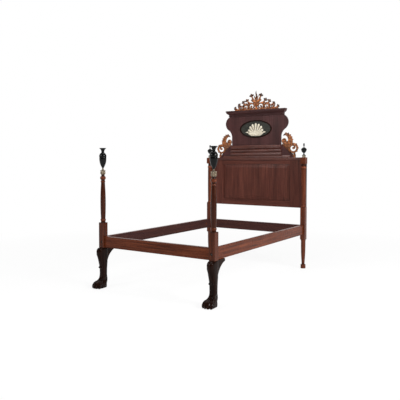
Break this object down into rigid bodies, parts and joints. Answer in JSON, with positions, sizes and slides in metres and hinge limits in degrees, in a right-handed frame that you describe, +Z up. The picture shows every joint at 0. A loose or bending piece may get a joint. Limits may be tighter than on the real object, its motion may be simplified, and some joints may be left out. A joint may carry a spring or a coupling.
{
  "type": "four-poster bed",
  "caption": "Antique-style single bed: turned posts with urn finials, lion-paw legs at the foot, plain rails, panelled headboard with shaped crest, oval plaque and carved openwork.",
  "frame": {"origin": "on the floor, in the middle of the overall width and length", "axes": "+X to the sleeper's left hand, to the right as seen from the foot end; +Y from the foot end to the headboard; +Z up"},
  "size_m": [1.38, 2.1705, 2.097],
  "materials": {
    "post_mahogany": "french polished",
    "panel_mahogany": "french polished",
    "crest_mahogany": "french polished",
    "plain_wood": "bare",
    "ebonised_wood": "ebonised, satin",
    "black_gloss_wood": "ebonised, gloss",
    "gilt_wood": "worn gilding",
    "plaque_ground": "painted, satin",
    "ivory_relief": "painted, matt",
    "carved_wood": "waxed",
    "iron": "dull"
  },
  "bodies": {
    "bed_frame": {"back_batten_left": "plain_wood", "back_batten_right": "plain_wood", "batten_screws": "iron", "bed_bolts": "iron", "bolt_nuts": "iron", "bolt_washers": "iron", "cornice_front": "crest_mahogany", "cornice_return_left": "crest_mahogany", "cornice_return_right": "crest_mahogany", "crest_panel": "crest_mahogany", "cresting": "carved_wood", "cresting_dowels": "plain_wood", "finial_collar_left": "gilt_wood", "finial_collar_right": "gilt_wood", "foot_collar_left": "gilt_wood", "foot_collar_right": "gilt_wood", "foot_leg_left": "ebonised_wood", "foot_leg_right": "ebonised_wood", "foot_post_left": "post_mahogany", "foot_post_right": "post_mahogany", "foot_rail": "post_mahogany", "foot_rail_pegs": "post_mahogany", "frieze_base_moulding": "crest_mahogany", "frieze_board": "crest_mahogany", "frieze_plinth": "crest_mahogany", "frieze_reeds": "crest_mahogany", "head_post_left": "post_mahogany", "head_post_right": "post_mahogany", "head_rail": "post_mahogany", "head_rail_pegs": "post_mahogany", "knee_bracket_left": "ebonised_wood", "knee_bracket_right": "ebonised_wood", "nut_plugs": "post_mahogany", "oval_frame": "crest_mahogany", "oval_plaque": "plaque_ground", "oval_relief": "ivory_relief", "panel_board": "panel_mahogany", "panel_bottom_rail": "panel_mahogany", "panel_cap_strip": "post_mahogany", "panel_screws": "iron", "panel_stile_left": "panel_mahogany", "panel_stile_right": "panel_mahogany", "panel_top_rail": "panel_mahogany", "side_rail_left": "post_mahogany", "side_rail_right": "post_mahogany", "side_scroll_left": "carved_wood", "side_scroll_right": "carved_wood"},
    "foot_finial_left": {"foot_urn_left": "black_gloss_wood", "urn_base_left": "gilt_wood", "urn_dowel_left": "plain_wood"},
    "head_finial_left": {"head_finial_left": "black_gloss_wood", "finial_dowel_left": "plain_wood"},
    "foot_finial_right": {"foot_urn_right": "black_gloss_wood", "urn_base_right": "gilt_wood", "urn_dowel_right": "plain_wood"},
    "head_finial_right": {"head_finial_right": "black_gloss_wood", "finial_dowel_right": "plain_wood"}
  },
  "joints": [
    {"name": "foot_finial_left_lift", "type": "slide", "parent": "bed_frame", "child": "foot_finial_left", "axis": [0, 0, 1], "range_m": [0, 0.055]},
    {"name": "head_finial_left_lift", "type": "slide", "parent": "bed_frame", "child": "head_finial_left", "axis": [0, 0, 1], "range_m": [0, 0.075]},
    {"name": "foot_finial_right_lift", "type": "slide", "parent": "bed_frame", "child": "foot_finial_right", "axis": [0, 0, 1], "range_m": [0, 0.055]},
    {"name": "head_finial_right_lift", "type": "slide", "parent": "bed_frame", "child": "head_finial_right", "axis": [0, 0, 1], "range_m": [0, 0.075]}
  ]
}
